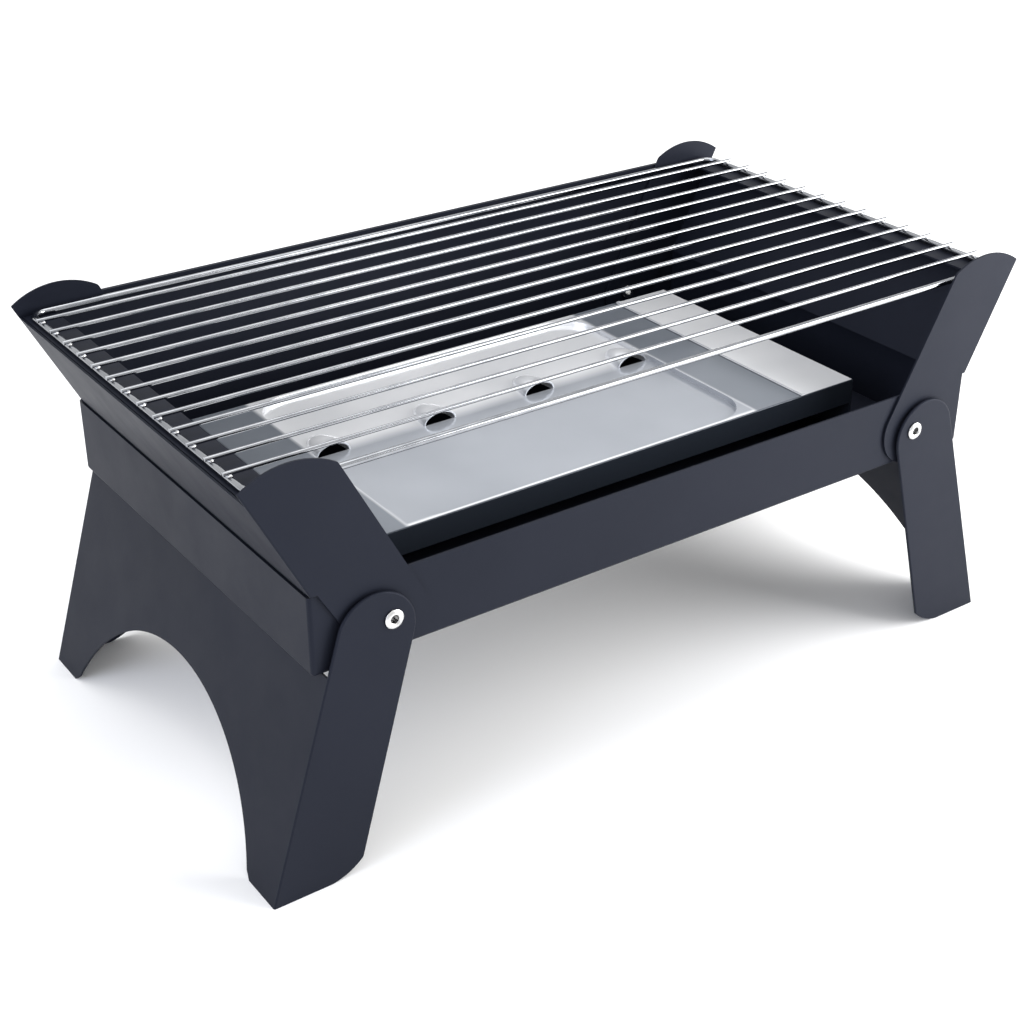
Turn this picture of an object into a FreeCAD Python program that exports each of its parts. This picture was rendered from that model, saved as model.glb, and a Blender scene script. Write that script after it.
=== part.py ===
"""Portable tabletop charcoal grill: sheet-steel fire box, folding wings and legs, wire grate, charcoal tray.

Frame: +Z up, +X along the long side, -Y towards the low front wall, origin on the ground under the middle.
Millimetres. Each sub-part is one object whose Label is its file name.
"""

import FreeCAD, Part
import math
import os
import Sketcher
from FreeCAD import Placement, Rotation, Vector

DIMENSIONS = {
    # Stance: the four hollow rivets are the pivots of the wings and the legs.
    "pivot_half_spacing": 152.0,
    "pivot_height": 123.0,
    "sheet_gauge": 1.0,
    # Fire box, heights measured from the pivots.
    "box_half_length": 188.9,
    "box_half_width": 114.0,
    "box_rim_rise": 20.0,
    "box_floor_drop": 17.6,
    "box_bend_radius": 2.0,
    "back_wall_rise": 73.2,
    "back_wall_half_length": 184.9,
    "back_hem_height": 5.0,
    "back_hem_depth": 1.2,
    # Wings: leaning end panel, two side cheeks and the shelf that carries the grate.
    "wing_lean": 27.0,
    "wing_panel_offset": 22.7,
    "wing_panel_lift": 1.2,
    "wing_sill_depth": 2.0,
    "wing_front_eye_radius": 18.0,
    "wing_rear_eye_radius": 15.5,
    "wing_heel": 3.2,
    "wing_shelf_rise": 69.5,
    "wing_shelf_inner": 44.0,
    "wing_tip_rise": 75.5,
    "wing_inner_corner": 20.5,
    "wing_inner_rise": 77.0,
    "wing_crown_radius": 39.0,
    "wing_crown_corner_radius": 2.5,
    "wing_front_gap": 0.3,
    "wing_rear_gap": 0.4,
    # Legs: leaning end panel with an arch and two side cheeks with round tops.
    "leg_lean": 17.2,
    "leg_gauge": 1.2,
    "leg_panel_offset": 25.2,
    "leg_cheek_width": 37.6,
    "leg_cheek_flare": 3.0,
    "leg_ear_drop": 6.5,
    "leg_plane": 118.0,
    "leg_stop_gap": 0.3,
    "leg_toe_length": 21.0,
    "leg_heel_radius": 28.0,
    "leg_inner_length": 115.0,
    "arch_radius": 100.0,
    "arch_peak": 73.7,
    "arch_foot_half_width": 95.0,
    "arch_foot_rise": 3.5,
    "bend_radius": 0.8,
    # Hollow rivets and washers.
    "shank_radius": 2.6,
    "bore_radius": 1.9,
    "head_radius": 4.5,
    "head_height": 1.3,
    "head_rim_height": 0.5,
    "head_flat_radius": 2.6,
    "head_dome_radius": 3.2,
    "bore_lip_depth": 0.5,
    "fit_clearance": 0.05,
    "face_gap": 0.2,
    "tail_height": 1.2,
    "tail_radius": 4.0,
    "washer_radius": 6.0,
    # Wire grate.
    "border_wire_radius": 1.5,
    "rod_radius": 1.0,
    "grate_half_length": 208.3,
    "grate_half_width": 108.8,
    "grate_corner_radius": 7.0,
    "rod_overhang": 2.7,
    "grate_rest_gap": 0.1,
    # Charcoal tray, slid against the left end of the fire box.
    "tray_gauge": 0.8,
    "tray_bend_radius": 0.7,
    "tray_shift": -17.0,
    "tray_half_length": 167.0,
    "tray_half_width": 76.0,
    "tray_top_rise": 13.0,
    "tray_skirt_height": 13.0,
    "tray_crease": 133.0,
    "tray_bead_width": 2.0,
    "tray_bead_height": 0.6,
    "tray_bead_inset": 1.0,
    "tray_foot_gap": 0.2,
    "dish_half_length": 100.5,
    "dish_half_width": 74.0,
    "dish_depth": 2.5,
    "dish_corner_radius": 20.0,
    "vent_half_width": 9.2,
    "vent_reach": 20.0,
    "vent_height": 5.6,
}

ROD_COUNT = 13
VENT_PLACES = ((-90, 8), (-30, 8), (30, 8), (90, 8))
BEYOND = 2.0  # how far a cutting outline runs past the metal that it trims
LONG_BEND = 30.0  # a bend line between a panel and its cheek is longer than this
OUTER_REACH = 40.0  # a wing's outer bend lines lie at least this far from its pivot
CROWN_LEVEL = 70.0  # a wing's crown corners lie above this, measured from its pivot
SIDES = {"left": -1, "right": 1}
FRONT, REAR = -1, 1


class Size:
    """A length or angle worked out from the sheet: its value now and the expression that gives it."""

    def __init__(self, value, text):
        self.value = float(value)
        self.text = text

    def __add__(self, other):
        other = as_size(other)
        return Size(self.value + other.value, f"({self.text} + {other.text})")

    def __sub__(self, other):
        other = as_size(other)
        return Size(self.value - other.value, f"({self.text} - {other.text})")

    def __mul__(self, other):
        other = as_size(other)
        return Size(self.value * other.value, f"({self.text} * {other.text})")

    def __truediv__(self, other):
        other = as_size(other)
        return Size(self.value / other.value, f"({self.text} / {other.text})")

    def __neg__(self):
        return Size(-self.value, f"(0 - {self.text})")

    __radd__ = __add__
    __rmul__ = __mul__


def as_size(number):
    """A plain number as a Size, and a Size as itself."""
    return number if isinstance(number, Size) else Size(number, f"{float(number):.6g}")


def dim(name):
    """The named cell of the sheet."""
    return Size(DIMENSIONS[name], f"dims.{name}")


def sin_of(angle):
    return Size(math.sin(math.radians(angle.value)), f"sin({angle.text})")


def cos_of(angle):
    return Size(math.cos(math.radians(angle.value)), f"cos({angle.text})")


def root_of(size):
    return Size(math.sqrt(size.value), f"sqrt({size.text})")


def make_sheet(doc):
    """The spreadsheet of driving dimensions."""
    sheet = doc.addObject("Spreadsheet::Sheet", "dims")
    for row, (name, value) in enumerate(DIMENSIONS.items(), start=1):
        sheet.set(f"A{row}", name)
        sheet.set(f"B{row}", str(value))
        sheet.setAlias(f"B{row}", name)
    return sheet


def make_body(doc, name):
    """An empty PartDesign body."""
    body = doc.addObject("PartDesign::Body", name)
    body.Label = name
    return body


def make_sketch(body, name, plane, offset):
    """A sketch parallel to one of the body's own origin planes, offset along that plane's normal."""
    sketch = body.newObject("Sketcher::SketchObject", name)
    planes = [item for item in body.Origin.OriginFeatures if item.Role == plane]
    sketch.AttachmentSupport = [(planes[0], "")]
    sketch.MapMode = "FlatFace"
    sketch.setExpression(".AttachmentOffset.Base.z", as_size(offset).text)
    return sketch


def pin_point(sketch, geometry, point, x, y):
    """Fix one point of the sketch at sheet-driven coordinates."""
    for kind, value in (("DistanceX", x), ("DistanceY", y)):
        value = as_size(value)
        index = sketch.addConstraint(Sketcher.Constraint(kind, -1, 1, geometry, point, value.value))
        sketch.setExpression(f"Constraints[{index}]", value.text)


def set_radius(sketch, geometry, radius):
    """Fix the radius of an arc or circle."""
    radius = as_size(radius)
    index = sketch.addConstraint(Sketcher.Constraint("Radius", geometry, radius.value))
    sketch.setExpression(f"Constraints[{index}]", radius.text)


def arc_between(start, end, radius, turn):
    """The minor arc from start to end: turn is 1 counter-clockwise and -1 clockwise."""
    chord = end - start
    half = chord.Length / 2
    rise = math.sqrt(max(radius * radius - half * half, 0.0))
    normal = Vector(-chord.y, chord.x, 0).normalize()
    centre = (start + end) * 0.5 + normal * (rise * turn)
    first, last = (start, end) if turn > 0 else (end, start)
    angles = [math.atan2(point.y - centre.y, point.x - centre.x) for point in (first, last)]
    if angles[1] < angles[0]:
        angles[1] += 2 * math.pi
    return Part.ArcOfCircle(Part.Circle(centre, Vector(0, 0, 1), radius), angles[0], angles[1])


def draw_outline(sketch, corners):
    """A closed outline through corners (x, y) or (x, y, radius, turn), whose arc runs to the next corner."""
    points = [Vector(as_size(corner[0]).value, as_size(corner[1]).value, 0) for corner in corners]
    ends = []
    for index, corner in enumerate(corners):
        start = points[index]
        end = points[(index + 1) % len(points)]
        if len(corner) == 2:
            geometry = sketch.addGeometry(Part.LineSegment(start, end))
            ends.append((geometry, 1, 2))
        else:
            radius, turn = as_size(corner[2]), corner[3]
            geometry = sketch.addGeometry(arc_between(start, end, radius.value, turn))
            ends.append((geometry, 1, 2) if turn > 0 else (geometry, 2, 1))
    for index, (geometry, _, last) in enumerate(ends):
        following, first, _ = ends[(index + 1) % len(ends)]
        sketch.addConstraint(Sketcher.Constraint("Coincident", geometry, last, following, first))
    for (geometry, first, _), corner in zip(ends, corners):
        pin_point(sketch, geometry, first, corner[0], corner[1])
        if len(corner) > 2:
            set_radius(sketch, geometry, corner[2])


def draw_circle(sketch, x, y, radius):
    """A circle whose centre and radius the sheet drives."""
    place = Vector(as_size(x).value, as_size(y).value, 0)
    circle = Part.Circle(place, Vector(0, 0, 1), as_size(radius).value)
    geometry = sketch.addGeometry(circle)
    pin_point(sketch, geometry, 3, x, y)
    set_radius(sketch, geometry, radius)


def draw_rectangle(sketch, left, right, bottom, top):
    draw_outline(sketch, [(left, bottom), (right, bottom), (right, top), (left, top)])


def pad(body, sketch, name, length):
    """Pad the sketch along its plane's normal."""
    feature = body.newObject("PartDesign::Pad", name)
    feature.Profile = sketch
    feature.Length = as_size(length).value
    feature.setExpression("Length", as_size(length).text)
    body.Document.recompute()
    return feature


def pocket(body, sketch, name, length, reverse=False):
    """Cut the sketch out, against its plane's normal unless reversed, and check that metal went."""
    before = body.Shape.Volume
    feature = body.newObject("PartDesign::Pocket", name)
    feature.Profile = sketch
    feature.Reversed = reverse
    feature.Length = as_size(length).value
    feature.setExpression("Length", as_size(length).text)
    body.Document.recompute()
    if not body.Shape.Volume < before:
        raise RuntimeError(f"{body.Label}: pocket {name} removes nothing")
    return feature


def pocket_both_ways(body, sketch, name):
    """Cut the sketch right through the body, to both sides of its plane."""
    before = body.Shape.Volume
    feature = body.newObject("PartDesign::Pocket", name)
    feature.Profile = sketch
    feature.Type = "ThroughAll"
    feature.Midplane = True
    body.Document.recompute()
    if not body.Shape.Volume < before:
        raise RuntimeError(f"{body.Label}: pocket {name} removes nothing")
    return feature


def round_edges(body, name, chosen, radius):
    """Fillet the edges of the body's tip for which chosen(edge) is true."""
    base = body.Tip
    names = [f"Edge{i}" for i, edge in enumerate(base.Shape.Edges, start=1) if chosen(edge)]
    if not names:
        raise RuntimeError(f"{body.Label}: {name} finds no edge")
    feature = body.newObject("PartDesign::Fillet", name)
    feature.Base = (base, names)
    feature.Radius = as_size(radius).value
    feature.setExpression("Radius", as_size(radius).text)
    body.Document.recompute()
    return feature


def is_straight(edge):
    return edge.Curve.TypeId == "Part::GeomLine"


def near(value, target):
    return abs(value - target) < 0.01


def put(obj, x, y, z, rotation=None):
    """Place the object, with its position bound to the sheet."""
    obj.Placement = Placement(Vector(0, 0, 0), rotation or Rotation())
    for axis, value in zip("xyz", (x, y, z)):
        obj.setExpression(f".Placement.Base.{axis}", as_size(value).text)


def wing_planes():
    """Y of a wing's outer cheek faces: the front one is outside the front wall, the rear one inside."""
    front = -(dim("box_half_width") + dim("wing_front_gap") + dim("sheet_gauge"))
    rear = dim("box_half_width") - dim("sheet_gauge") - dim("wing_rear_gap")
    return front, rear


def fire_box(doc):
    """Shallow folded trough with a low front wall and a back wall as high as the grate."""
    body = make_body(doc, "fire_box")
    gauge = dim("sheet_gauge")
    length, width = dim("box_half_length"), dim("box_half_width")
    floor = dim("pivot_height") - dim("box_floor_drop")
    depth = dim("box_rim_rise") + dim("box_floor_drop")
    outside = make_sketch(body, "outside_sketch", "XY_Plane", floor)
    draw_rectangle(outside, -length, length, -width, width)
    pad(body, outside, "outside", depth)
    round_edges(body, "outer_bends", lambda edge: is_trough_bend(edge, floor.value), dim("box_bend_radius"))
    inside = make_sketch(body, "inside_sketch", "XY_Plane", floor + gauge)
    corner = dim("box_bend_radius") - gauge
    draw_rounded_rectangle(inside, length - gauge, width - gauge, corner)
    pocket(body, inside, "inside", depth, reverse=True)
    add_back_wall(body, floor + depth)
    for name, side in SIDES.items():
        holes = make_sketch(body, f"{name}_pivot_sketch", "XZ_Plane", 0)
        draw_circle(holes, dim("pivot_half_spacing") * side, dim("pivot_height"), shank_hole())
        pocket_both_ways(body, holes, f"{name}_pivot_holes")
    return body


def is_trough_bend(edge, floor):
    """The upright corners and the four bottom edges of the trough."""
    box = edge.BoundBox
    upright = box.ZLength > 1
    bottom = near(box.ZMax, floor)
    return is_straight(edge) and (upright or bottom)


def draw_rounded_rectangle(sketch, half_length, half_width, radius):
    """A rectangle about the sketch's origin with rounded corners."""
    long_end, wide_end = half_length - radius, half_width - radius
    draw_outline(sketch, [
        (-long_end, -half_width), (long_end, -half_width, radius, 1),
        (half_length, -wide_end), (half_length, wide_end, radius, 1),
        (long_end, half_width), (-long_end, half_width, radius, 1),
        (-half_length, wide_end), (-half_length, -wide_end, radius, 1),
    ])


def add_back_wall(body, rim):
    """The high back wall above the rim, with its top edge hemmed outwards."""
    width, gauge = dim("box_half_width"), dim("sheet_gauge")
    half, top = dim("back_wall_half_length"), dim("pivot_height") + dim("back_wall_rise")
    wall = make_sketch(body, "back_wall_sketch", "XZ_Plane", -width)
    draw_rectangle(wall, -half, half, rim - gauge, top)
    pad(body, wall, "back_wall", gauge)
    hem = make_sketch(body, "back_hem_sketch", "XZ_Plane", -(width + dim("back_hem_depth")))
    draw_rectangle(hem, -half, half, top - dim("back_hem_height"), top)
    pad(body, hem, "back_hem", dim("back_hem_depth") + gauge)


def shank_hole():
    return dim("shank_radius") + dim("fit_clearance")


def panel_line(offset, rise):
    """Distance out from the pivot of a wing panel face at a height above the pivot."""
    lean = dim("wing_lean")
    return (offset + rise * sin_of(lean)) / cos_of(lean)


def wing(doc, name, side):
    """One folding wing, bent from one sheet: its panel's sill dips inside the trough's end wall."""
    body = make_body(doc, f"wing_{name}")
    gauge, outer = dim("sheet_gauge"), dim("wing_panel_offset")
    front, rear = wing_planes()
    foot = dim("box_rim_rise") + dim("wing_panel_lift")
    shelf, shelf_end = dim("wing_shelf_rise"), dim("wing_shelf_inner")
    panel = make_sketch(body, "panel_sketch", "XZ_Plane", -rear)
    draw_outline(panel, [
        (panel_line(outer, foot) * side, foot),
        (panel_line(outer, shelf) * side, shelf),
        (panel_line(outer - gauge, shelf) * side, shelf),
        (panel_line(outer - gauge, foot) * side, foot),
    ])
    pad(body, panel, "panel", rear - front)
    low, overlap = dim("box_rim_rise") - dim("wing_sill_depth"), foot + gauge
    sill = make_sketch(body, "sill_sketch", "XZ_Plane", -(rear - dim("box_bend_radius")))
    draw_outline(sill, [
        (panel_line(outer, low) * side, low), (panel_line(outer, overlap) * side, overlap),
        (panel_line(outer - gauge, overlap) * side, overlap), (panel_line(outer - gauge, low) * side, low),
    ])
    pad(body, sill, "sill", (rear - dim("box_bend_radius")) * 2)
    ledge = make_sketch(body, "shelf_sketch", "XZ_Plane", -rear)
    ledge_root = panel_line(outer - gauge, shelf - gauge)
    draw_rectangle(ledge, shelf_end * side, ledge_root * side, shelf - gauge, shelf)
    pad(body, ledge, "shelf", rear * 2)
    for label, plane, eye in (
        ("front", -front - gauge, dim("wing_front_eye_radius")), ("rear", -rear, dim("wing_rear_eye_radius")),
    ):
        cheek = make_sketch(body, f"{label}_cheek_sketch", "XZ_Plane", plane)
        draw_wing_cheek(cheek, side, eye)
        pad(body, cheek, f"{label}_cheek", gauge)
    tip = panel_line(outer, dim("wing_tip_rise")).value
    bend, corner = dim("bend_radius"), dim("wing_crown_corner_radius")
    round_edges(body, "cheek_bends", lambda edge: is_wing_bend(edge, front.value, rear.value), bend)
    round_edges(body, "crown_corners", lambda edge: is_crown_corner(edge, tip), corner)
    put(body, dim("pivot_half_spacing") * side, 0, dim("pivot_height"))
    return body


def draw_wing_cheek(sketch, side, eye):
    """Cheek outline: leaning outer edge, arched crown, inner edge tangent to the round eye at the pivot."""
    outer = dim("wing_panel_offset")
    foot = dim("box_rim_rise") + dim("wing_panel_lift")
    tip_x, tip_z = panel_line(outer, dim("wing_tip_rise")), dim("wing_tip_rise")
    corner_x, corner_z = dim("wing_inner_corner"), dim("wing_inner_rise")
    heel_x = panel_line(outer, foot) - dim("wing_heel")
    upper = tangent_point(corner_x.value, corner_z.value, eye.value, 1)
    lower = tangent_point(heel_x.value, foot.value, eye.value, -1)
    spots = [
        (panel_line(outer, foot).value, foot.value), (tip_x.value, tip_z.value),
        (corner_x.value, corner_z.value), upper, lower, (heel_x.value, foot.value),
    ]
    points = [Vector(x * side, z, 0) for x, z in spots]
    panel = sketch.addGeometry(Part.LineSegment(points[0], points[1]))
    crown = sketch.addGeometry(arc_between(points[1], points[2], dim("wing_crown_radius").value, side))
    inner = sketch.addGeometry(Part.LineSegment(points[2], points[3]))
    circle = Part.Circle(Vector(0, 0, 0), Vector(0, 0, 1), eye.value)
    first, last = (points[3], points[4]) if side > 0 else (points[4], points[3])
    angles = [math.atan2(point.y, point.x) % (2 * math.pi) for point in (first, last)]
    if angles[1] < angles[0]:
        angles[1] += 2 * math.pi
    round_end = sketch.addGeometry(Part.ArcOfCircle(circle, angles[0], angles[1]))
    heel = sketch.addGeometry(Part.LineSegment(points[4], points[5]))
    step = sketch.addGeometry(Part.LineSegment(points[5], points[0]))
    start, end = (1, 2) if side > 0 else (2, 1)
    for pair in (
        (panel, 2, crown, start), (crown, end, inner, 1), (heel, 2, step, 1), (step, 2, panel, 1),
    ):
        sketch.addConstraint(Sketcher.Constraint("Coincident", *pair))
    sketch.addConstraint(Sketcher.Constraint("Tangent", inner, 2, round_end, start))
    sketch.addConstraint(Sketcher.Constraint("Tangent", round_end, end, heel, 1))
    sketch.addConstraint(Sketcher.Constraint("Coincident", round_end, 3, -1, 1))
    set_radius(sketch, round_end, eye)
    set_radius(sketch, crown, dim("wing_crown_radius"))
    pin_point(sketch, panel, 1, panel_line(outer, foot) * side, foot)
    pin_point(sketch, panel, 2, tip_x * side, tip_z)
    pin_point(sketch, inner, 1, corner_x * side, corner_z)
    pin_point(sketch, step, 1, heel_x * side, foot)
    draw_circle(sketch, 0, 0, shank_hole())


def tangent_point(x, y, radius, turn):
    """Where a line from (x, y) touches a circle about the origin, on its left (1) or right (-1)."""
    distance = math.hypot(x, y)
    angle = math.atan2(y, x) + turn * math.acos(radius / distance)
    return radius * math.cos(angle), radius * math.sin(angle)


def is_wing_bend(edge, front, rear):
    """The outer bend lines between a wing's panel and its cheeks."""
    box = edge.BoundBox
    on_cheek = near(box.YMin, box.YMax) and (near(box.YMin, front) or near(box.YMin, rear))
    return is_straight(edge) and on_cheek and box.ZLength > LONG_BEND and abs(box.Center.x) > OUTER_REACH


def is_crown_corner(edge, tip):
    """The two corners of each cheek's crown, across the sheet."""
    box = edge.BoundBox
    across = near(box.YLength, dim("sheet_gauge").value) and near(box.XLength, 0) and near(box.ZLength, 0)
    high = box.ZMin > CROWN_LEVEL
    reach = abs(box.Center.x)
    return across and high and (near(reach, dim("wing_inner_corner").value) or near(reach, tip))


def leg(doc, name, side):
    """One leg frame, modelled upright about its pivot and then leant outwards."""
    body = make_body(doc, f"leg_{name}")
    gauge, outer = dim("leg_gauge"), dim("leg_panel_offset")
    plane = dim("leg_plane")
    lean = dim("leg_lean")
    top = (dim("box_floor_drop") + dim("leg_stop_gap") + outer * sin_of(lean)) / cos_of(lean)
    reach = (dim("pivot_height") + outer * sin_of(lean)) / cos_of(lean)
    below = reach + BEYOND + dim("leg_gauge")
    peak, radius = dim("arch_peak"), dim("arch_radius")
    rise, foot = reach - dim("arch_foot_rise"), dim("arch_foot_half_width")
    centre = peak + radius
    spring = root_of(radius * radius - (centre - rise) * (centre - rise))
    panel = make_sketch(body, "panel_sketch", "YZ_Plane", outer - gauge)
    draw_outline(panel, [
        (-plane, -below), (-foot, -below), (-foot, -reach), (-spring, -rise, radius, -1),
        (0, -peak, radius, -1), (spring, -rise), (foot, -reach), (foot, -below),
        (plane, -below), (plane, -top), (-plane, -top),
    ])
    pad(body, panel, "panel", gauge)
    for label, offset in (("front_cheek", plane - gauge), ("rear_cheek", -plane)):
        cheek = make_sketch(body, f"{label}_sketch", "XZ_Plane", offset)
        draw_leg_cheek(cheek, reach)
        pad(body, cheek, label, gauge)
    trim = make_sketch(body, "ground_sketch", "XZ_Plane", 0)
    draw_ground_trim(trim, reach)
    pocket_both_ways(body, trim, "ground_trim")
    bend = dim("bend_radius")
    round_edges(body, "cheek_bends", lambda edge: is_leg_bend(edge, outer.value, plane.value), bend)
    turn = Rotation(Vector(0, 0, 1), 0 if side > 0 else 180)
    lean_out = Rotation(Vector(0, 1, 0), -lean.value)
    put(body, dim("pivot_half_spacing") * side, 0, dim("pivot_height"), turn * lean_out)
    return body


def draw_leg_cheek(sketch, reach):
    """Cheek outline: round ear about the pivot, strip that widens downwards, flat toe and rounded heel."""
    outer, lean = dim("leg_panel_offset"), dim("leg_lean")
    half = dim("leg_cheek_width") / 2
    middle, inner, ear = outer - half, outer - dim("leg_cheek_width"), dim("leg_ear_drop")
    toe_x = outer - dim("leg_toe_length") * cos_of(lean)
    toe_z = -(reach - dim("leg_toe_length") * sin_of(lean))
    draw_outline(sketch, [
        (outer, -reach), (outer, -ear, half, 1), (middle, half - ear, half, 1),
        (inner, -ear), (inner - dim("leg_cheek_flare"), -dim("leg_inner_length"), dim("leg_heel_radius"), 1),
        (toe_x, toe_z),
    ])
    draw_circle(sketch, 0, 0, shank_hole())


def draw_ground_trim(sketch, reach):
    """The wedge of panel below the ground line, which is level once the leg leans."""
    outer, lean = dim("leg_panel_offset"), dim("leg_lean")
    run = dim("leg_toe_length")
    draw_outline(sketch, [
        (outer + run * cos_of(lean), -(reach + run * sin_of(lean))),
        (outer - run * cos_of(lean), -(reach - run * sin_of(lean))),
        (outer - run * cos_of(lean), -(reach + run)),
        (outer + run * cos_of(lean), -(reach + run)),
    ])


def is_leg_bend(edge, outer, plane):
    """The outer bend lines between the leg panel and its cheeks."""
    box = edge.BoundBox
    corner = near(box.XMin, outer) and near(box.XMax, outer) and near(abs(box.Center.y), plane)
    return is_straight(edge) and corner and box.ZLength > LONG_BEND and near(box.YLength, 0)


def rivet(doc, name, side, direction):
    """Hollow rivet with a domed outer head and a flared tail, turned about its own axis."""
    body = make_body(doc, name)
    shank, bore, head = dim("shank_radius"), dim("bore_radius"), dim("head_radius")
    top, tail = dim("head_height"), dim("tail_height")
    reach = rivet_reach(direction)
    profile = make_sketch(body, "profile_sketch", "XZ_Plane", 0)
    flare = dim("tail_radius")
    draw_outline(profile, [
        (bore, -(reach + tail)), (flare, -(reach + tail)), (flare, -reach),
        (shank, -reach), (shank, 0), (head, 0), (head, dim("head_rim_height"), dim("head_dome_radius"), 1),
        (dim("head_flat_radius"), top), (bore, top - dim("bore_lip_depth")),
    ])
    turned = body.newObject("PartDesign::Revolution", "turned")
    turned.Profile = profile
    turned.ReferenceAxis = (profile, ["V_Axis"])
    turned.Angle = 360
    doc.recompute()
    outer_face = (dim("leg_plane") + dim("face_gap")) * direction
    rotation = Rotation(Vector(1, 0, 0), -90 * direction)
    put(body, dim("pivot_half_spacing") * side, outer_face, dim("pivot_height"), rotation)
    return body


def rivet_reach(direction):
    """Length of a rivet's shank, from under its head to where its tail turns over."""
    outside = dim("leg_plane") + dim("face_gap")
    if direction == FRONT:
        return outside - (dim("box_half_width") - dim("sheet_gauge"))
    _, rear = wing_planes()
    return outside - (rear - dim("sheet_gauge") - dim("face_gap"))


def washer(doc, name, side, direction):
    """Spacing washer between the leg's cheek and the wing's cheek or the back wall."""
    body = make_body(doc, name)
    front, _ = wing_planes()
    inner = -front + dim("face_gap") if direction == FRONT else dim("box_half_width")
    outer = dim("leg_plane") - dim("leg_gauge") - dim("face_gap")
    ring = make_sketch(body, "ring_sketch", "XZ_Plane", 0)
    draw_circle(ring, 0, 0, dim("washer_radius"))
    draw_circle(ring, 0, 0, shank_hole())
    pad(body, ring, "ring", outer - inner)
    start = -inner if direction == FRONT else outer
    put(body, dim("pivot_half_spacing") * side, start, dim("pivot_height"))
    return body


def grate_wire_height():
    """Height of the border wire's axis when the grate lies on the wings' shelves."""
    return dim("pivot_height") + dim("wing_shelf_rise") + dim("grate_rest_gap") + dim("border_wire_radius")


def grate_frame(doc):
    """Border wire of the grate, bent into a closed loop with round corners."""
    body = make_body(doc, "grate_frame")
    path = make_sketch(body, "path_sketch", "XY_Plane", 0)
    half_length, half_width = dim("grate_half_length"), dim("grate_half_width")
    draw_rounded_rectangle(path, half_length, half_width, dim("grate_corner_radius"))
    section = make_sketch(body, "section_sketch", "YZ_Plane", 0)
    draw_circle(section, -dim("grate_half_width"), 0, dim("border_wire_radius"))
    doc.recompute()
    wire = body.newObject("PartDesign::AdditivePipe", "wire")
    wire.Profile = section
    wire.Spine = path
    doc.recompute()
    put(body, 0, 0, grate_wire_height())
    return body


def grate_rod(doc, index):
    """One cross rod, welded on top of the short sides of the border wire."""
    rod = doc.addObject("Part::Cylinder", f"grate_rod_{index:02d}")
    rod.Label = f"grate_rod_{index:02d}"
    half = dim("grate_half_length") + dim("rod_overhang")
    rod.setExpression("Radius", dim("rod_radius").text)
    rod.setExpression("Height", (half * 2).text)
    pitch = dim("grate_half_width") * 2 / (ROD_COUNT + 1)
    across = pitch * index - dim("grate_half_width")
    up = grate_wire_height() + dim("border_wire_radius") + dim("rod_radius")
    put(rod, -half, across, up, Rotation(Vector(0, 1, 0), 90))
    return rod


def charcoal_tray(doc):
    """Bright loose tray: flat top with a shallow dish and hooded vents, side skirts and taller end walls."""
    body = make_body(doc, "charcoal_tray")
    gauge = dim("tray_gauge")
    length, width = dim("tray_half_length"), dim("tray_half_width")
    plate = make_sketch(body, "plate_sketch", "XY_Plane", -gauge)
    draw_rectangle(plate, -length, length, -width, width)
    pad(body, plate, "plate", gauge)
    add_dish(body)
    add_tray_skirts(body)
    add_tray_beads(body)
    round_edges(body, "top_bends", is_tray_bend, dim("tray_bend_radius"))
    for index, (x, y) in enumerate(VENT_PLACES, start=1):
        add_vent(body, index, x, y)
    put(body, dim("tray_shift"), 0, dim("pivot_height") + dim("tray_top_rise"))
    return body


def add_dish(body):
    """The shallow dish with round corners that holds the charcoal."""
    gauge, depth = dim("tray_gauge"), dim("dish_depth")
    length, width, corner = dim("dish_half_length"), dim("dish_half_width"), dim("dish_corner_radius")
    bowl = make_sketch(body, "dish_sketch", "XY_Plane", -(depth + gauge))
    draw_rounded_rectangle(bowl, length + gauge, width + gauge, corner + gauge)
    pad(body, bowl, "dish_outside", depth + gauge)
    hollow = make_sketch(body, "hollow_sketch", "XY_Plane", 0)
    draw_rounded_rectangle(hollow, length, width, corner)
    pocket(body, hollow, "dish_inside", depth)


def add_tray_skirts(body):
    """Front and back skirts, and the taller end walls that the tray stands on."""
    gauge = dim("tray_gauge")
    length, width = dim("tray_half_length"), dim("tray_half_width")
    for label, start in (("front", width - gauge), ("rear", -width)):
        skirt = make_sketch(body, f"{label}_skirt_sketch", "XZ_Plane", start)
        draw_rectangle(skirt, -length, length, -dim("tray_skirt_height"), 0)
        pad(body, skirt, f"{label}_skirt", gauge)
    stand = dim("tray_top_rise") + dim("box_floor_drop") - dim("sheet_gauge") - dim("tray_foot_gap")
    for label, start in (("left", -length), ("right", length - gauge)):
        foot = make_sketch(body, f"{label}_foot_sketch", "YZ_Plane", start)
        draw_rectangle(foot, -width, width, -stand, 0)
        pad(body, foot, f"{label}_foot", gauge)


def add_tray_beads(body):
    """Raised bead across the tray at the inner end of each end band."""
    half, width = dim("tray_bead_width") / 2, dim("tray_half_width") - dim("tray_bead_inset")
    for label, side in SIDES.items():
        middle = dim("tray_crease") * side
        bead = make_sketch(body, f"{label}_bead_sketch", "XY_Plane", -dim("tray_gauge"))
        draw_rectangle(bead, middle - half, middle + half, -width, width)
        pad(body, bead, f"{label}_bead", dim("tray_gauge") + dim("tray_bead_height"))


def add_vent(body, index, x, y):
    """Hooded vent: half of a long dome behind a straight slit, open underneath and towards the front."""
    gauge = dim("tray_gauge")
    sizes = (dim("vent_height"), dim("vent_half_width"), dim("vent_reach"))
    half_dome(body, "Additive", f"hood_{index}", x, y, sizes, 0)
    before = body.Shape.Volume
    half_dome(body, "Subtractive", f"throat_{index}", x, y, [size - gauge for size in sizes], -90)
    if not body.Shape.Volume < before:
        raise RuntimeError(f"vent {index} cuts nothing")


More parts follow.
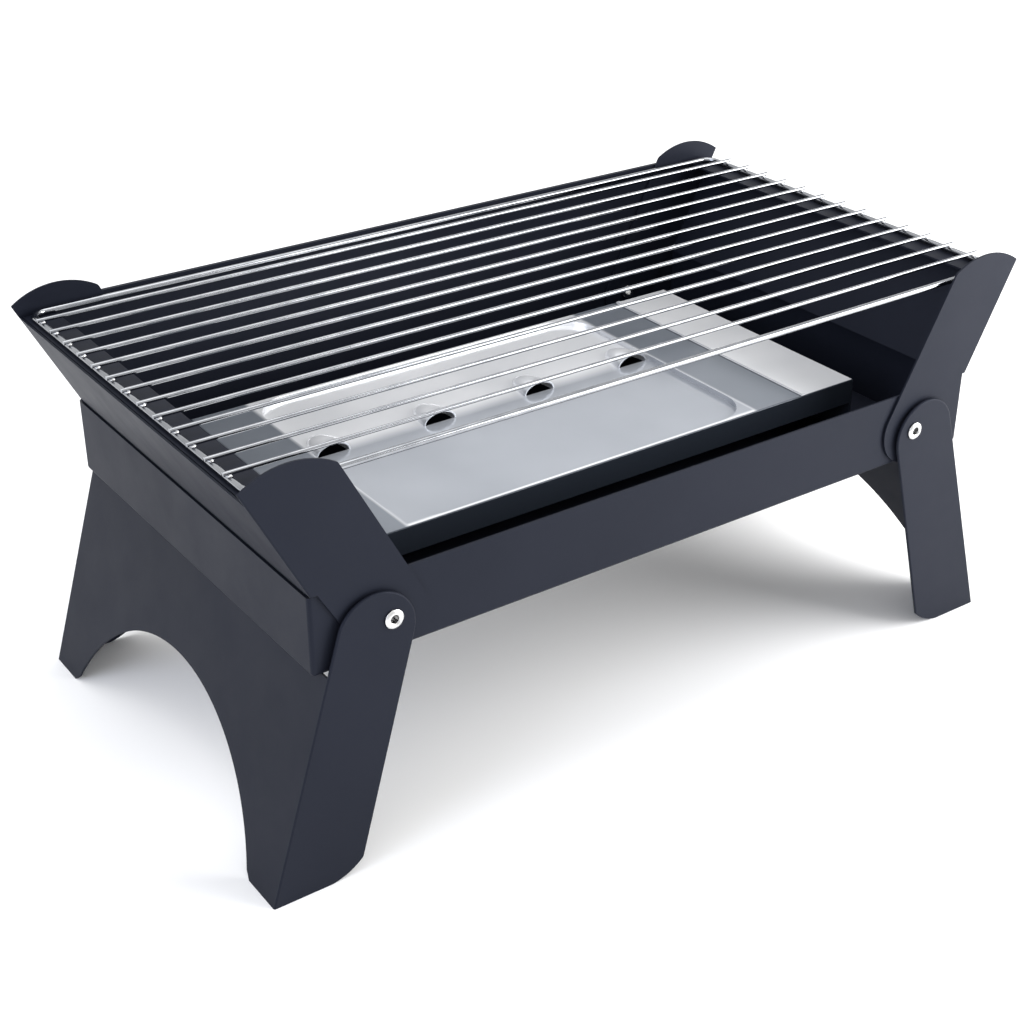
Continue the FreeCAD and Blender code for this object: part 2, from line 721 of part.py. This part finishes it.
def half_dome(body, kind, name, x, y, sizes, lowest):
    """The rear half of an ellipsoid about (x, y) on the dish's floor, of the given sizes."""
    dome = body.newObject(f"PartDesign::{kind}Ellipsoid", name)
    planes = [item for item in body.Origin.OriginFeatures if item.Role == "XY_Plane"]
    dome.AttachmentSupport = [(planes[0], "")]
    dome.MapMode = "FlatFace"
    dome.AttachmentOffset = Placement(Vector(x, y, 0), Rotation())
    dome.setExpression(".AttachmentOffset.Base.z", (-dim("dish_depth")).text)
    for index, size in enumerate(sizes, start=1):
        dome.setExpression(f"Radius{index}", size.text)
    dome.Angle1 = lowest
    dome.Angle3 = 180
    body.Document.recompute()
    return dome


def is_tray_bend(edge):
    """The long top edges of the tray, where the plate turns down into skirts and feet."""
    box = edge.BoundBox
    rim = near(box.ZMin, 0) and near(box.ZMax, 0)
    outer = near(abs(box.Center.y), dim("tray_half_width").value) or near(
        abs(box.Center.x), dim("tray_half_length").value)
    return is_straight(edge) and rim and outer


def build(doc):
    """Every sub-part of the grill."""
    parts = [fire_box(doc)]
    for name, side in SIDES.items():
        parts.append(wing(doc, name, side))
        parts.append(leg(doc, name, side))
        for label, direction in (("front", FRONT), ("rear", REAR)):
            parts.append(rivet(doc, f"rivet_{label}_{name}", side, direction))
            parts.append(washer(doc, f"washer_{label}_{name}", side, direction))
    parts.append(charcoal_tray(doc))
    parts.append(grate_frame(doc))
    parts.extend(grate_rod(doc, index) for index in range(1, ROD_COUNT + 1))
    return parts


def check(doc, parts):
    """Stop if any object failed to compute or any sub-part isn't a sound solid."""
    for obj in doc.Objects:
        if "Invalid" in obj.State or "Error" in obj.State:
            raise RuntimeError(f"{obj.Label} did not compute: {obj.State}")
    for part in parts:
        if part.Shape.isNull() or not part.Shape.isValid():
            raise RuntimeError(f"{part.Label} has no valid shape")
        if len(part.Shape.Solids) != 1:
            raise RuntimeError(f"{part.Label} has {len(part.Shape.Solids)} solids")


def export(parts):
    os.makedirs("parts", exist_ok=True)
    for part in parts:
        part.Shape.exportStep(os.path.join("parts", f"{part.Label}.step"))
        box = part.Shape.BoundBox
        print(f"{part.Label:18s} {part.Shape.Volume:10.1f} mm3"
              f"  x {box.XMin:8.2f} {box.XMax:8.2f}  y {box.YMin:8.2f} {box.YMax:8.2f}"
              f"  z {box.ZMin:8.2f} {box.ZMax:8.2f}")


def main():
    doc = FreeCAD.newDocument("tabletop_grill")
    make_sheet(doc)
    doc.recompute()
    parts = build(doc)
    doc.recompute()
    check(doc, parts)
    export(parts)


main()
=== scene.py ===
"""Looks of a portable tabletop charcoal grill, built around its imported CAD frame. Lengths are in metres."""

import math
import random

import bmesh
import bpy
from mathutils import Euler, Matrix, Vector

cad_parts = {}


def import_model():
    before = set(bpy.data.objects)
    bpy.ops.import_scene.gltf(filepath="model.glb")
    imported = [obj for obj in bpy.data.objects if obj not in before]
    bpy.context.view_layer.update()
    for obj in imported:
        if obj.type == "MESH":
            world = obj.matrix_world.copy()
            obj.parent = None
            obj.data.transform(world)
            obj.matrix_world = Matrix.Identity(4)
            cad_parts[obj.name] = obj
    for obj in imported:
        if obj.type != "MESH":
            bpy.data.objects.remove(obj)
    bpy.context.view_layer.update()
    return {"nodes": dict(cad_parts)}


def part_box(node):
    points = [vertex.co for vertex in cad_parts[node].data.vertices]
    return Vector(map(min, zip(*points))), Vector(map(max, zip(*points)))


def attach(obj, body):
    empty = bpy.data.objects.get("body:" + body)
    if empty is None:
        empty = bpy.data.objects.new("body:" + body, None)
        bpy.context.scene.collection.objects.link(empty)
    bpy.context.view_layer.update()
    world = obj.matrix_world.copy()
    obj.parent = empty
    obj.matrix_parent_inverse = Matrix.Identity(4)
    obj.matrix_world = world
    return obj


MM = 0.001

# The camera: where it stands, where it looks and its lens.
CAMERA_PLACE = (-0.4615, -0.6418, 0.5060)
CAMERA_YAW = 35.14
CAMERA_DROP = 28.78
CAMERA_LENS = 61.40
SENSOR_WIDTH = 36.0
NEAR_CLIP = 0.01

# Soft lights: name, place, target, side, power and colour.
MIDDLE = (0.0, 0.0, 0.12)
WHITE_LIGHT = (1.0, 1.0, 1.0)
COOL_LIGHT = (0.74, 0.81, 1.0)
LIGHTS = (
    ("key_right", (0.85, -0.75, 0.45), (0.2, -0.1, 0.1), 0.9, 20.0, WHITE_LIGHT),
    ("fill_left", (-1.8, -0.2, 0.9), MIDDLE, 1.2, 15.0, COOL_LIGHT),
    ("top", (0.1, 0.3, 2.0), MIDDLE, 1.6, 15.0, WHITE_LIGHT),
)
FLOOR_SIDE = 30.0

# Rounding of the CAD edges in the visual model.
SHEET_EDGE = 0.22 * MM
TRAY_EDGE = 0.2 * MM
ROD_EDGE = 0.25 * MM
RIVET_EDGE = 0.12 * MM
SHARPEST_SMOOTH_ANGLE = 40
SAME_POINT = 2e-6
FACE_WEIGHT = 60

# Tones of the tray's sheet, as shares of the bright sheet.
CLEAN = (1.0, 1.0, 1.0)
NONE = (0.0, 0.0, 0.0)
# Painted reflection: the dish floor greyer, standing in for darker things reflected in it.
DISH_REFLECTION_GREY = (0.42, 0.44, 0.47)
# Painted reflection: the strips beside the dish darker, standing in for the dark wings reflected in them.
PAINTED_STRIP_REFLECTION = (0.24, 0.26, 0.29)
# Painted shadow in the groove at the foot of each bead; the same dark also covers the tray's skirts, ends and
# feet.
GROOVE_SHADE_AND_DARK_SIDES = (0.030, 0.037, 0.050)
# Where the tones change: shares of the half length from the middle, of the half width from the middle,
# of the width from the front, and of the height from the top.
# Along the length: clean dish and end band, the darker strips between them (painted reflection), and a
# painted shadow in the groove at the foot of each bead.
STRIP_TONES = [(0.598, CLEAN), (0.612, PAINTED_STRIP_REFLECTION), (0.780, PAINTED_STRIP_REFLECTION), (0.783, GROOVE_SHADE_AND_DARK_SIDES), (0.787, GROOVE_SHADE_AND_DARK_SIDES), (0.790, CLEAN)]
DISH_LENGTH = [(0.600, CLEAN), (0.606, NONE)]
DISH_WIDTH = [(0.010, NONE), (0.018, CLEAN), (0.54, CLEAN), (0.60, NONE)]
SKIRT_START, SKIRT_FULL = 0.990, 0.996
END_START, END_FULL = 0.996, 0.999
FOOT_START, FOOT_FULL = 0.21, 0.24

SHEET_NODES = ("fire_box", "wing_left", "wing_right", "leg_left", "leg_right")
ENDS = ("left", "right")
SIDES = ("front", "rear")
ROD_COUNT = 13


# ---------------------------------------------------------------- node materials

class Graph:
    """A material's node tree with short calls for the nodes used here."""

    def __init__(self, name):
        self.material = bpy.data.materials.new(name)
        self.material.use_nodes = True
        self.tree = self.material.node_tree
        self.shader = self.tree.nodes["Principled BSDF"]
        self.coordinates = self.add("ShaderNodeTexCoord").outputs["Object"]

    def add(self, kind, **values):
        node = self.tree.nodes.new(kind)
        for key, value in values.items():
            setattr(node, key, value)
        return node

    def link(self, source, target):
        self.tree.links.new(source, target)

    def stretched(self, scale):
        """Object coordinates scaled along each axis."""
        mapping = self.add("ShaderNodeMapping")
        mapping.inputs["Scale"].default_value = scale
        self.link(self.coordinates, mapping.inputs["Vector"])
        return mapping.outputs["Vector"]

    def noise(self, scale, detail=2.0, roughness=0.5, vector=None):
        node = self.add("ShaderNodeTexNoise")
        node.inputs["Scale"].default_value = scale
        node.inputs["Detail"].default_value = detail
        node.inputs["Roughness"].default_value = roughness
        self.link(vector or self.coordinates, node.inputs["Vector"])
        return node.outputs["Fac"]

    def ramp(self, source, stops):
        """A colour ramp: stops are (position, colour) pairs."""
        node = self.add("ShaderNodeValToRGB")
        elements = node.color_ramp.elements
        while len(elements) < len(stops):
            elements.new(0.5)
        for element, (position, colour) in zip(elements, stops):
            element.position = position
            element.color = (*colour, 1.0)
        self.link(source, node.inputs["Fac"])
        return node.outputs["Color"]

    def spread(self, source, low, high, start=0.3, end=0.7):
        """Maps start..end, by default a noise's useful range, to low..high."""
        node = self.add("ShaderNodeMapRange")
        node.inputs["From Min"].default_value = start
        node.inputs["From Max"].default_value = end
        node.inputs["To Min"].default_value = low
        node.inputs["To Max"].default_value = high
        self.link(source, node.inputs["Value"])
        return node.outputs["Result"]

    def distance_along(self, axis, middle, reach):
        """Distance from a plane across the axis, as a share of reach."""
        parts = self.add("ShaderNodeSeparateXYZ")
        self.link(self.coordinates, parts.inputs["Vector"])
        value = parts.outputs[axis]
        for operation, number in (("SUBTRACT", middle), ("ABSOLUTE", 0.0), ("DIVIDE", reach)):
            node = self.add("ShaderNodeMath", operation=operation)
            node.inputs[1].default_value = number
            self.link(value, node.inputs[0])
            value = node.outputs["Value"]
        return value

    def multiply(self, first, second):
        """Product of two colours."""
        node = self.add("ShaderNodeMix", data_type="RGBA", blend_type="MULTIPLY")
        node.inputs["Factor"].default_value = 1.0
        self.link(first, node.inputs["A"])
        self.link(second, node.inputs["B"])
        return node.outputs["Result"]

    def cover(self, below, share, colour):
        """Lays a plain colour over another where share is one."""
        node = self.add("ShaderNodeMix", data_type="RGBA")
        node.inputs["B"].default_value = (*colour, 1.0)
        self.link(share, node.inputs["Factor"])
        self.link(below, node.inputs["A"])
        return node.outputs["Result"]

    def bump(self, height, strength, distance, below=None):
        node = self.add("ShaderNodeBump")
        node.inputs["Strength"].default_value = strength
        node.inputs["Distance"].default_value = distance
        self.link(height, node.inputs["Height"])
        if below is not None:
            self.link(below, node.inputs["Normal"])
        return node.outputs["Normal"]

    def set(self, **values):
        for key, value in values.items():
            self.shader.inputs[key.replace("_", " ")].default_value = value


def powder_coat():
    """Satin black powder coat: blue-black with fine orange peel and faint cloudiness."""
    g = Graph("powder_coat_black")
    cloud = g.noise(9.0, 3.0)
    colour = g.ramp(cloud, [(0.30, (0.0076, 0.0090, 0.0145)), (0.70, (0.0098, 0.0113, 0.0180))])
    g.link(colour, g.shader.inputs["Base Color"])
    patches = g.noise(38.0, 4.0, 0.6)
    g.link(g.spread(patches, 0.46, 0.53), g.shader.inputs["Roughness"])
    peel = g.bump(g.noise(620.0, 1.0), 0.14, 0.00008)
    grain = g.bump(g.noise(2600.0, 2.0, 0.6), 0.08, 0.00003, below=peel)
    g.link(grain, g.shader.inputs["Normal"])
    g.set(Specular_IOR_Level=0.14, Specular_Tint=(0.74, 0.80, 1.0, 1.0))
    return g.material


def chrome_wire():
    """Bright chrome over drawn wire: mirror-like with faint drawing lines along the wire and dull spots."""
    g = Graph("chrome_wire")
    lines = g.noise(1.0, 2.0, 0.5, g.stretched((10.0, 900.0, 900.0)))
    spots = g.noise(90.0, 2.0, 0.5)
    colour = g.ramp(spots, [(0.32, (0.27, 0.28, 0.30)), (0.62, (0.36, 0.37, 0.39))])
    g.link(colour, g.shader.inputs["Base Color"])
    g.link(g.spread(spots, 0.16, 0.11), g.shader.inputs["Roughness"])
    g.link(g.bump(lines, 0.015, 0.00001), g.shader.inputs["Normal"])
    g.set(Metallic=1.0)
    return g.material


def tray_tones(g, bright, box):
    """Bright sheet with a greyer dish and darker strips beside it as painted reflection, a painted shadow in
    the groove at each bead's foot, and dark skirts, ends and feet.
    """
    low, high = box
    middle, reach = (low + high) / 2, (high - low) / 2
    along = g.distance_along("X", middle.x, reach.x)
    across = g.distance_along("Y", middle.y, reach.y)
    from_front = g.distance_along("Y", low.y, high.y - low.y)
    from_top = g.distance_along("Z", high.z, high.z - low.z)
    # Painted reflection: the dish greyer and the strips beside it darker.
    dish = g.multiply(g.ramp(along, DISH_LENGTH), g.ramp(from_front, DISH_WIDTH))
    colour = g.multiply(bright, g.cover(g.ramp(along, STRIP_TONES), dish, DISH_REFLECTION_GREY))
    # The skirts, ends and feet darkened with the same dark as the painted groove shadow.
    for distance, start, full in (
        (across, SKIRT_START, SKIRT_FULL),
        (along, END_START, END_FULL),
        (from_top, FOOT_START, FOOT_FULL),
    ):
        colour = g.cover(colour, g.spread(distance, 0.0, 1.0, start, full), GROOVE_SHADE_AND_DARK_SIDES)
    return colour


def bright_sheet(box):
    """Bright rolled sheet with faint smudges, fine rolling lines and a slight waviness."""
    g = Graph("bright_steel_sheet")
    rolled = g.noise(1.0, 4.0, 0.65, g.stretched((9.0, 1500.0, 1500.0)))
    smudges = g.noise(16.0, 2.0, 0.5)
    bright = g.ramp(smudges, [(0.28, (0.80, 0.81, 0.83)), (0.70, (0.95, 0.955, 0.97))])
    g.link(tray_tones(g, bright, box), g.shader.inputs["Base Color"])
    g.link(g.spread(smudges, 0.15, 0.19), g.shader.inputs["Roughness"])
    waves = g.bump(g.noise(14.0, 1.0), 0.20, 0.0010)
    g.link(g.bump(rolled, 0.03, 0.00002, below=waves), g.shader.inputs["Normal"])
    g.set(Metallic=0.4)
    return g.material


def plated_steel(name, dark, light, rough_low, rough_high):
    """Plated steel of the rivets, washers and weld beads."""
    g = Graph(name)
    mottle = g.noise(420.0, 3.0, 0.6)
    g.link(g.ramp(mottle, [(0.30, dark), (0.70, light)]), g.shader.inputs["Base Color"])
    g.link(g.spread(mottle, rough_high, rough_low), g.shader.inputs["Roughness"])
    g.link(g.bump(g.noise(2400.0, 2.0), 0.12, 0.00004), g.shader.inputs["Normal"])
    g.set(Metallic=1.0)
    return g.material


def pale_floor():
    """Plain matt pale floor."""
    g = Graph("pale_floor")
    g.set(Base_Color=(0.93, 0.93, 0.93, 1.0), Roughness=0.9, Specular_IOR_Level=0.1)
    return g.material


def dress(obj, material):
    obj.data.materials.clear()
    obj.data.materials.append(material)


# ---------------------------------------------------------------- CAD nodes

def smooth_cad(obj, edge_width):
    """Smooth shading on a CAD node, with small rounded edges where edge_width is given."""
    obj.data.polygons.foreach_set("use_smooth", [True] * len(obj.data.polygons))
    if "custom_normal" in obj.data.attributes:
        obj.data.attributes.remove(obj.data.attributes["custom_normal"])
    weld = obj.modifiers.new("weld", "WELD")
    weld.merge_threshold = SAME_POINT
    if edge_width:
        bevel = obj.modifiers.new("edge_rounding", "BEVEL")
        bevel.width = edge_width
        bevel.segments = 2
        bevel.limit_method = "ANGLE"
        bevel.angle_limit = math.radians(SHARPEST_SMOOTH_ANGLE)
        bevel.use_clamp_overlap = True
        bevel.miter_outer = "MITER_ARC"
    normals = obj.modifiers.new("face_normals", "WEIGHTED_NORMAL")
    normals.mode = "FACE_AREA"
    normals.weight = FACE_WEIGHT
    normals.keep_sharp = True


def cad_looks():
    """Each CAD node's material and the rounding of its edges."""
    looks = {name: ("coat", SHEET_EDGE) for name in SHEET_NODES}
    looks["charcoal_tray"] = ("tray", TRAY_EDGE)
    looks["grate_frame"] = ("wire", 0)
    for index in range(1, ROD_COUNT + 1):
        looks[f"grate_rod_{index:02d}"] = ("wire", ROD_EDGE)
    for side in SIDES:
        for end in ENDS:
            looks[f"rivet_{side}_{end}"] = ("rivet", RIVET_EDGE)
            looks[f"washer_{side}_{end}"] = ("washer", RIVET_EDGE)
    return looks


def dress_cad(nodes, materials):
    for name, (material, edge_width) in cad_looks().items():
        dress(nodes[name], materials[material])
        smooth_cad(nodes[name], edge_width)


# ---------------------------------------------------------------- added pieces

def new_piece(name, mesh_builder, material, body):
    """A mesh piece on a body: mesh_builder(bm) fills it in the row frame."""
    bm = bmesh.new()
    mesh_builder(bm)
    mesh = bpy.data.meshes.new(name)
    bm.to_mesh(mesh)
    bm.free()
    mesh.polygons.foreach_set("use_smooth", [True] * len(mesh.polygons))
    piece = bpy.data.objects.new(name, mesh)
    bpy.context.scene.collection.objects.link(piece)
    dress(piece, material)
    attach(piece, body)
    return piece


def weld_beads(index, end):
    """Small uneven bead where a rod crosses the border wire at one end."""
    low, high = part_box(f"grate_rod_{index:02d}")
    frame_low, frame_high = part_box("grate_frame")
    wire_radius = (frame_high.z - frame_low.z) / 2
    rod_radius = (high.z - low.z) / 2
    x = frame_low.x + wire_radius if end == "left" else frame_high.x - wire_radius
    place = Vector((x, (low.y + high.y) / 2, low.z))
    chance = random.Random(index * 2 + (end == "right"))

    def build(bm):
        bmesh.ops.create_icosphere(bm, subdivisions=3, radius=1.0)
        width = rod_radius * (1.35 + 0.25 * chance.random())
        reach = (wire_radius * 0.95, width, rod_radius * 0.62)
        for vertex in bm.verts:
            swell = 1.0 + 0.07 * math.sin(5 * vertex.co.x + index) * math.cos(4 * vertex.co.y + index)
            vertex.co = Vector(c * r * swell for c, r in zip(vertex.co, reach)) + place

    return build


def add_welds(materials):
    for index in range(1, ROD_COUNT + 1):
        for end in ENDS:
            name = f"weld_{index:02d}_{end}"
            new_piece(name, weld_beads(index, end), materials["weld"], "grate")


# ---------------------------------------------------------------- stage

def add_floor(material):
    bpy.ops.mesh.primitive_plane_add(size=FLOOR_SIDE, location=(0.0, 0.0, 0.0))
    floor = bpy.context.object
    floor.name = "floor"
    dress(floor, material)


def add_world():
    world = bpy.data.worlds.new("studio")
    bpy.context.scene.world = world
    world.use_nodes = True
    background = world.node_tree.nodes["Background"]
    background.inputs["Color"].default_value = (1.0, 1.0, 1.0, 1.0)
    background.inputs["Strength"].default_value = 1.0


def add_area(name, place, target, size, power, colour):
    """A square soft light aimed at a point."""
    light = bpy.data.lights.new(name, "AREA")
    light.color = colour
    light.shape = "SQUARE"
    light.size = size
    light.energy = power
    lamp = bpy.data.objects.new(name, light)
    bpy.context.scene.collection.objects.link(lamp)
    lamp.location = place
    lamp.rotation_euler = (Vector(target) - Vector(place)).to_track_quat("-Z", "Y").to_euler()


def add_lights():
    for light in LIGHTS:
        add_area(*light)


def add_camera():
    camera = bpy.data.cameras.new("camera")
    camera.lens = CAMERA_LENS
    camera.sensor_width = SENSOR_WIDTH
    camera.clip_start = NEAR_CLIP
    holder = bpy.data.objects.new("camera", camera)
    bpy.context.scene.collection.objects.link(holder)
    holder.location = CAMERA_PLACE
    holder.rotation_euler = Euler((math.radians(90 - CAMERA_DROP), 0.0, math.radians(-CAMERA_YAW)))
    bpy.context.scene.camera = holder


def main():
    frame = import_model()
    materials = {
        "coat": powder_coat(),
        "wire": chrome_wire(),
        "tray": bright_sheet(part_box("charcoal_tray")),
        "rivet": plated_steel("rivet_steel", (0.55, 0.55, 0.55), (0.80, 0.80, 0.79), 0.16, 0.30),
        "washer": plated_steel("washer_steel", (0.40, 0.40, 0.40), (0.62, 0.62, 0.61), 0.28, 0.42),
        "weld": plated_steel("weld_steel", (0.46, 0.45, 0.44), (0.74, 0.74, 0.74), 0.18, 0.34),
    }
    dress_cad(frame["nodes"], materials)
    add_welds(materials)
    add_floor(pale_floor())
    add_world()
    add_lights()
    add_camera()
    bpy.context.scene.view_settings.view_transform = "Standard"


main()
